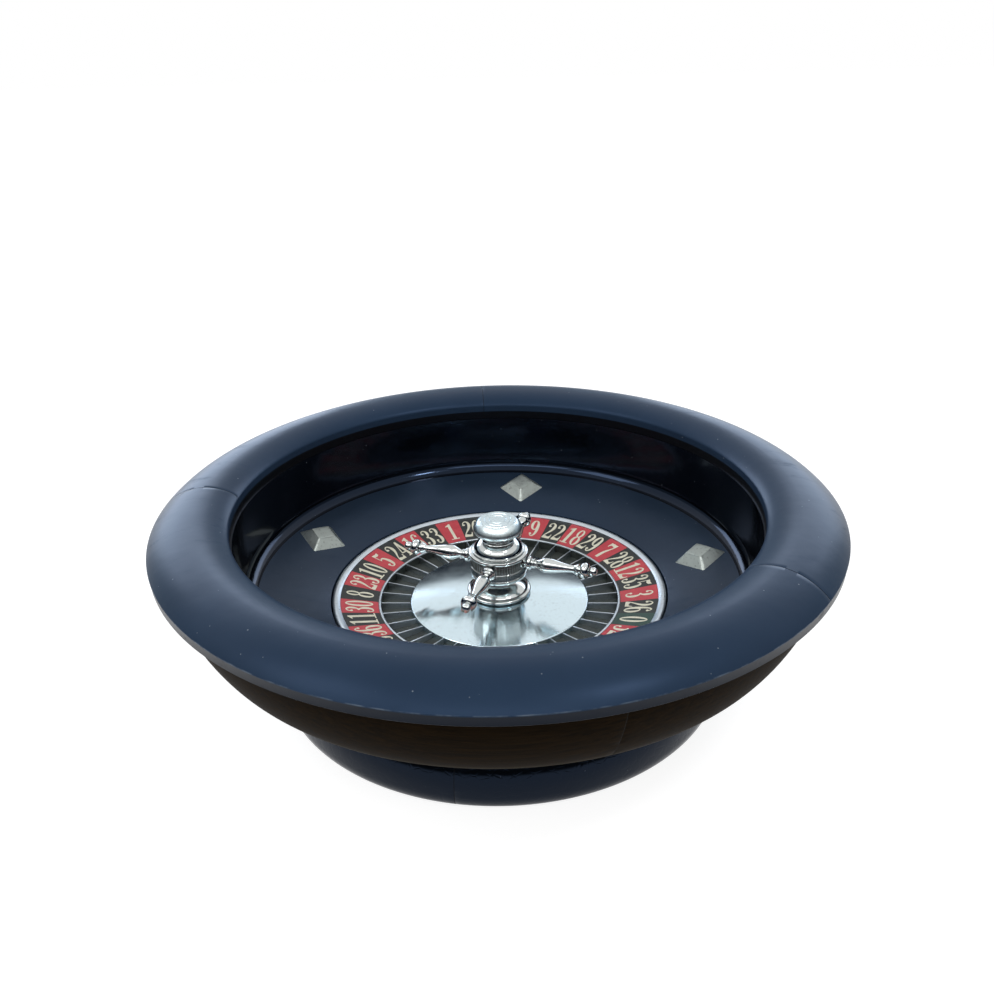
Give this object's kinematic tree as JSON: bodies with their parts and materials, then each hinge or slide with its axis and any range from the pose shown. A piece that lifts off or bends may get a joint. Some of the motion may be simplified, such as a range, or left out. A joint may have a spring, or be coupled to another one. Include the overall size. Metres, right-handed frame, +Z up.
{
  "type": "table-top roulette wheel",
  "caption": "Table-top roulette wheel: ebonised turned wooden bowl on a foot, with nickel deflectors and a spinning rotor with numbered pockets and a cross-handled turret.",
  "frame": {"origin": "On the wheel's vertical axis, in the plane of the baize pad's underside, where the wheel stands on the table.", "axes": "+Z is up along the rotor's spindle. -Y is the side that faces the player in the picture, and +X is to that player's right."},
  "size_m": [0.36, 0.36, 0.11],
  "materials": {
    "rim_lacquer": "satin ebonised lacquer",
    "wall_lacquer": "glossy ebonised lacquer",
    "apron_lacquer": "satin ebonised lacquer",
    "body_wood": "brown-black stained and waxed",
    "foot_lacquer": "glossy ebonised lacquer",
    "inner_wood": "plain stained",
    "baize": "woven wool baize",
    "dull_nickel": "worn nickel plate",
    "steel": "turned",
    "brass": "turned",
    "number_enamel": "printed enamel in red, black and green cells",
    "pocket_lining": "dark matt paint",
    "satin_nickel": "satin nickel plate",
    "polished_nickel": "polished nickel plate"
  },
  "bodies": {
    "bowl": {"baize_pad": "baize", "foot_left": "foot_lacquer", "foot_right": "foot_lacquer", "body_left": "body_wood", "body_right": "body_wood", "rim_front": "rim_lacquer", "rim_right": "rim_lacquer", "rim_left": "rim_lacquer", "track_ring": "wall_lacquer", "apron": "apron_lacquer", "floor_board": "inner_wood", "deflector_1": "dull_nickel", "deflector_2": "dull_nickel", "deflector_3": "dull_nickel", "deflector_4": "dull_nickel", "deflector_5": "dull_nickel", "deflector_pins": "steel", "spindle": "steel", "spindle_plate": "brass", "plate_screws": "brass", "spindle_washer": "steel", "spindle_nut": "steel", "pivot_ball": "steel", "foot_screws": "brass"},
    "rotor": {"rotor_disc": "inner_wood", "cone_ring": "inner_wood", "number_plate": "number_enamel", "outer_band": "satin_nickel", "inner_band": "satin_nickel", "pocket_floor": "pocket_lining", "frets": "satin_nickel", "centre_dish": "polished_nickel", "bush": "brass", "bush_screws": "brass", "ring_screws": "brass", "turret_base": "polished_nickel", "turret_hub": "polished_nickel", "turret_cap": "polished_nickel", "knob": "polished_nickel", "turret_stud": "steel", "handle_1": "polished_nickel", "handle_2": "polished_nickel", "handle_3": "polished_nickel", "handle_4": "polished_nickel"}
  },
  "joints": [
    {"name": "rotor_spin", "type": "hinge", "parent": "bowl", "child": "rotor", "pos_m": [0, 0, 0.04], "axis": [0, 0, 1], "continuous": true}
  ]
}
